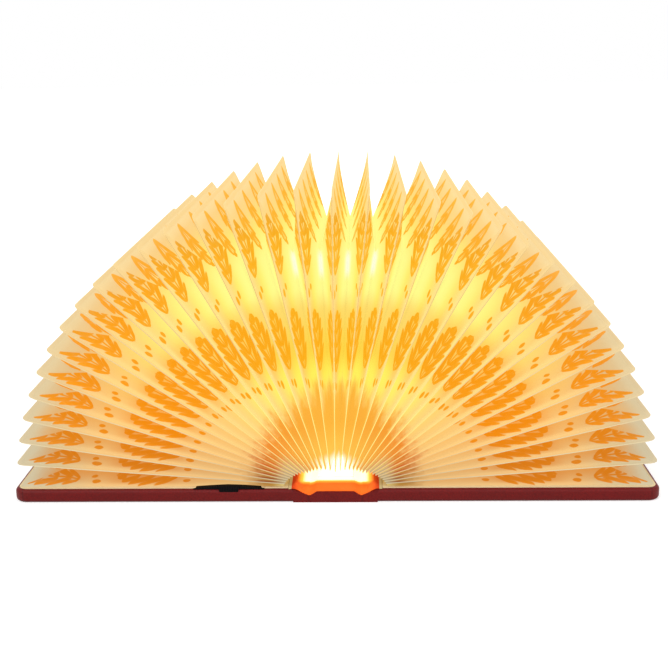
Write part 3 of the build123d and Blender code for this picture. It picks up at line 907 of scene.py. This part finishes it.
def between(points, x):
    """Straight line through points."""
    for (x0, y0), (x1, y1) in zip(points, points[1:]):
        if x <= x1:
            return y0 + (y1 - y0) * (x - x0) / (x1 - x0)
    return points[-1][1]


def liner_height(x, y):
    """Height of the cloth's upper face in mm, at a place in mm."""
    from_end = LINER_END - abs(y)
    slack = smooth_step(from_end / 4.5)
    swell = math.cos(math.radians(90) * min(abs(x - ROLL_PLACE) / ROLL_REACH, 1)) ** 2
    knob = KNOB_HEIGHT * (1 - smooth_step((from_end - 1.2) / KNOB_LENGTH))
    roll = (ROLL_HEIGHT + knob) * swell * smooth_step(from_end / 1.0)
    dip = DIP_RISE * math.exp(-(((x - DIP_PLACE) / DIP_WIDTH) ** 2))
    ripple = 0.12 * math.sin(y * 0.9 + x * 0.5) * swell
    return between(LINER_FALL, x) + slack * (dip + ripple) + roll


PASTED = 13.5 * MM               # where the sheet on the cover begins
# The roll's outer side is painted darker, as shade.
ROLL_SHADE_FROM = 11.8 * MM            # from here out the roll is darker
LIT_LENGTH, LIT_WIDTH = 51.1 * MM, 9.9 * MM      # how far the lens lights the cloth through
LIT_OUT, LIT_MORE = 10.8 * MM, 3.0 * MM          # it reaches further along the rolls
WARM_WIDTH, WARM_RIM = 11.2 * MM, 1.2 * MM
WEAVE = 9000.0


def cloth_finish():
    cloth = Finish("orange_cloth", tint(248, 108, 34), 0.85, bends=True, Specular_IOR_Level=0.1)
    x, y, _ = cloth.parts(cloth.place())
    warp = (x * WEAVE).math("SINE") * 0.5 + 0.5
    weft = (y * WEAVE).math("SINE") * 0.5 + 0.5
    weave = warp.either(weft)
    across, length = abs(x), abs(y)
    shade = cloth.noise(160.0, 3.0)
    color = cloth.mix(shade, tint(238, 96, 24), tint(255, 124, 46))
    # Painted shade: the roll's outer side is darker.
    color = cloth.mix(across.above(ROLL_SHADE_FROM, 0.0032) * 0.85, color, tint(180, 42, 16))
    reach = across.above(LIT_OUT, 0.0024) * LIT_MORE + LIT_LENGTH
    lit = (reach - length).above(0.0, 0.0018) * across.below(LIT_WIDTH, 0.0014)
    warm = (reach + WARM_RIM - length).above(0.0, 0.004) * across.below(WARM_WIDTH, 0.0020)
    pasted = across.above(PASTED, 0.0002)
    color = cloth.mix(pasted, color, tint(170, 152, 112))
    # Where the lens lights the cloth through, it is painted near white. The glow round it is painted
    # light from the light bar: warm yellow near the lens, dim orange elsewhere.
    cloth.feed("Base Color", cloth.mix(lit, color, tint(255, 252, 214)))
    ember = cloth.mix(across.above(WARM_WIDTH, 0.004), tint(124, 42, 5), tint(84, 20, 4))
    glow = cloth.mix(warm, ember, tint(255, 206, 70))
    glow = cloth.mix(pasted, glow, tint(110, 96, 66))
    cloth.feed("Emission Color", cloth.mix(lit, glow, tint(255, 252, 214)))
    cloth.feed("Emission Strength", 1.0)
    cloth.bump(weave, 0.3, 0.00012)
    return cloth


cloth = cloth_finish()
for name, side in (("left", -1), ("right", 1)):
    columns = [x * side for x in LINER_X]
    rows = [-y for y in LINER_Y] + LINER_Y[::-1]
    bpy.ops.object.select_all(action="DESELECT")
    bpy.ops.mesh.primitive_grid_add(
        x_subdivisions=len(columns) - 1, y_subdivisions=len(rows) - 1, size=2
    )
    piece = bpy.context.object
    piece.name = f"{name}_liner"
    for vertex in piece.data.vertices:
        x = columns[round((vertex.co.x + 1) / 2 * (len(columns) - 1))]
        y = rows[round((vertex.co.y + 1) / 2 * (len(rows) - 1))]
        vertex.co = Vector((x, y, liner_height(abs(x), y))) * MM
    bpy.ops.object.mode_set(mode="EDIT")
    mesh = bmesh.from_edit_mesh(piece.data)
    for face in mesh.faces:
        middle = face.calc_center_median()
        face.select = abs(middle.x) < WINDOW_HALF_WIDTH and abs(middle.y) < WINDOW_HALF
    bmesh.update_edit_mesh(piece.data)
    bpy.ops.mesh.delete(type="FACE")
    bpy.ops.mesh.select_all(action="SELECT")
    if side < 0:
        bpy.ops.mesh.flip_normals()
    bpy.ops.object.mode_set(mode="OBJECT")
    solid = piece.modifiers.new("thickness", "SOLIDIFY")
    solid.thickness = CLOTH
    solid.offset = -1.0
    bpy.ops.object.modifier_apply(modifier=solid.name)
    bpy.ops.object.shade_smooth_by_angle(angle=math.radians(50))
    keep_rest(piece)
    piece.data.materials.append(cloth.material)
    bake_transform(piece)
    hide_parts("spine_liner")
    print(piece.name, "faces:", len(piece.data.polygons))

# %% [markdown]
# ## Small parts
# The frosted lens glows. The rest of the light bar, the charging port and the magnets are mostly
# hidden; each gets the finish of its own material, and the light bar's white tray a faint painted
# glow as well. They are solids already, so one small function makes most of these finishes: two
# shades of a colour, spread by noise.

# %% Lens and light bar
LENS_GLOW, CHIP_GLOW, TRAY_GLOW = 1.15, 1.6, 0.35
lens = Finish("frosted_lens", tint(255, 250, 225), 0.4, Emission_Strength=LENS_GLOW)
frost = lens.noise(900.0, 3.0)
lens.feed("Emission Color", lens.mix(frost, tint(255, 250, 196), tint(255, 254, 216)))
lens.bump(frost, 0.1, 0.0002)
dress(lens, "light_diffuser")
chips = Finish("lit_chip", tint(255, 246, 190), 0.3, Emission_Strength=CHIP_GLOW)
chip_light = chips.mix(chips.noise(300.0), tint(255, 240, 170), tint(255, 250, 215))
chips.feed("Emission Color", chip_light)
dress(chips, "led_emitters")
# The tray is no lamp: its glow is painted light from the LEDs beside it.
tray = Finish("lit_white_plastic", tint(236, 236, 230), 0.5, Emission_Strength=TRAY_GLOW)
tray.feed("Base Color", tray.mix(tray.noise(50.0), tint(228, 228, 220), tint(242, 242, 238)))
tray.feed("Emission Color", tint(255, 248, 205))
tray.bump(tray.noise(2200.0, 2.0), 0.12, 0.0001)
dress(tray, "light_tray")


# %% Small hard parts
def speckled(name, dark, light, roughness, scale, metallic=0.0, bump=0.15):
    """A finish whose colour and roughness vary a little."""
    finish = Finish(name, light, roughness, Metallic=metallic)
    grain = finish.noise(scale, 4.0)
    finish.feed("Base Color", finish.mix(grain, dark, light))
    finish.feed("Roughness", grain * 0.2 + (roughness - 0.1))
    finish.bump(grain, bump, 0.0001)
    return finish


strip = speckled("led_strip", tint(206, 206, 202), tint(232, 232, 228), 0.4, 260.0)
dress(strip, "led_board")
case = speckled("chip_case", tint(20, 20, 20), tint(34, 34, 34), 0.5, 1500.0)
dress(case, "opening_sensor")
foil = speckled("cell_foil", tint(160, 165, 172), tint(205, 208, 212), 0.35, 300.0, 0.9)
dress(foil, "battery_cell")
insulation = speckled("lead_insulation", tint(150, 14, 12), tint(186, 26, 20), 0.45, 800.0)
dress(insulation, "battery_leads")
socket = speckled("socket_steel", tint(168, 168, 170), tint(204, 204, 206), 0.3, 1200.0, 1.0)
dress(socket, "usb_socket")
steel = speckled("screw_steel", tint(150, 150, 152), tint(196, 196, 198), 0.35, 1400.0, 1.0)
dress(steel, "module_screws")
plating = speckled("magnet_plating", tint(176, 176, 180), tint(220, 220, 224), 0.18, 500.0, 1.0)
dress(plating, "left_magnets", "right_magnets")
circuit = speckled("circuit_board", tint(12, 66, 34), tint(26, 96, 52), 0.4, 700.0)
dress(circuit, "charge_board")
indicator = speckled("indicator_lens", tint(190, 236, 190), tint(224, 250, 224), 0.25, 900.0)
dress(indicator, "indicator_led")
card = speckled("card", tint(176, 164, 140), tint(204, 194, 170), 0.9, 450.0, bump=0.4)
dress(card, "left_cover_board", "right_cover_board", "spine_board")
print("materials so far:", len(bpy.data.materials))

# %% [markdown]
# ## Endpapers
# A cream sheet lines the inside of each cover. It is a flat solid already, so it needs a finish
# only: fine fibres in two shades, and a slight bump from them.

# %% Endpapers
sheet = Finish("endpaper", tint(226, 208, 166), 0.8)
fibres = sheet.noise(700.0, 4.0)
sheet.feed("Base Color", sheet.mix(fibres, tint(206, 186, 142), tint(226, 208, 166)))
sheet.bump(fibres, 0.2, 0.0002)
dress(sheet, "left_endpaper", "right_endpaper")
print("endpapers dressed")

# %% [markdown]
# ## Ribbon
# A short black ribbon sticks out between the left cover and its paper, to open the book by. It lies
# under the paper, with its sides spread into two thin wedges there, and its end hangs a little way
# over the cover's edge. It is one grid. Its rows are put along the ribbon's path and its columns
# across it, so that the tab and both wedges stay one sheet; what lies flat between them is deleted,
# and the rest is given its thickness.

# %% Ribbon
ribbon = Finish("black_ribbon", tint(14, 12, 13), 0.8, Specular_IOR_Level=0.06)
x, _, _ = ribbon.parts(ribbon.place())
ribs = (x * 12000.0).math("SINE") * 0.5 + 0.5
ribbon.feed("Base Color", ribbon.mix(ribs, tint(3, 2, 3), tint(20, 17, 19)))
ribbon.bump(ribs, 0.5, 0.0002)
TAB_HALF = 2.9
RIBBON_THICK = 0.24 * MM
NO_AREA = 1e-12
RIBBON_PATH = ((-50.4, 4.55), (-54.5, 4.6), (-57.2, 4.72), (-58.6, 4.9), (-59.3, 5.08))
RIBBON_PATH += ((-59.7, 4.95), (-59.86, 4.6), (-59.9, 4.2), (-59.9, 3.8), (-59.8, 3.4))
RIBBON_COLUMNS = (-11.0, -7.4, -3.1, -TAB_HALF, -1.45, 0, 1.45, TAB_HALF, 3.1, 7.4, 11.0)
WEDGE_LOW, WEDGE_BACK, WEDGE_FRONT = 4.22, -57.2, -59.45
WEDGE_ROW = 5                    # from this row on, the wedges turn down to the cover


def ribbon_point(across, row):
    """A point of the ribbon. Beside the tab it is a wedge, open to the back, under the paper."""
    y, z = RIBBON_PATH[row]
    if abs(across) > TAB_HALF:
        beside = max(abs(across) - RIBBON_HALF, 0) / (RIBBON_FLANK - RIBBON_HALF)
        top = WEDGE_LOW + (z - WEDGE_LOW) * (1 - beside)
        y, z = ((min(y, WEDGE_BACK), top), (WEDGE_FRONT, WEDGE_LOW))[row >= WEDGE_ROW]
    return Vector((across - RIBBON_PLACE / MM, y, z)) * MM


bpy.ops.object.select_all(action="DESELECT")
bpy.ops.mesh.primitive_grid_add(
    x_subdivisions=len(RIBBON_COLUMNS) - 1, y_subdivisions=len(RIBBON_PATH) - 1, size=2
)
tab = bpy.context.object
tab.name = "pull_ribbon"
for vertex in tab.data.vertices:
    column = round((vertex.co.x + 1) / 2 * (len(RIBBON_COLUMNS) - 1))
    row = round((vertex.co.y + 1) / 2 * (len(RIBBON_PATH) - 1))
    vertex.co = ribbon_point(RIBBON_COLUMNS[column], row)
bpy.ops.object.mode_set(mode="EDIT")
mesh = bmesh.from_edit_mesh(tab.data)
for face in mesh.faces:
    middle = face.calc_center_median()
    beside = abs(middle.x + RIBBON_PLACE) > TAB_HALF * MM
    flat = beside and middle.z < (WEDGE_LOW + 0.01) * MM
    face.select = flat or face.calc_area() < NO_AREA
bmesh.update_edit_mesh(tab.data)
bpy.ops.mesh.delete(type="FACE")
bpy.ops.mesh.select_all(action="SELECT")
bpy.ops.mesh.remove_doubles(threshold=0.00001)
bpy.ops.mesh.normals_make_consistent(inside=False)
bpy.ops.object.mode_set(mode="OBJECT")
solid = tab.modifiers.new("thickness", "SOLIDIFY")
solid.thickness = RIBBON_THICK
solid.offset = 0.0
bpy.ops.object.modifier_apply(modifier=solid.name)
bpy.ops.object.shade_smooth_by_angle(angle=math.radians(50))
tab.data.materials.append(ribbon.material)
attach(tab, "left_cover")
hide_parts("pull_tab")
print(tab.name, "faces:", len(tab.data.polygons))

# %% [markdown]
# ## Size
# The size before and after the finishes is kept, so that it can be checked that the soft pieces
# stay within the construction model's size.

# %% Size
low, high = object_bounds()
print("visual size in mm:", [round(x / MM, 1) for x in high - low])
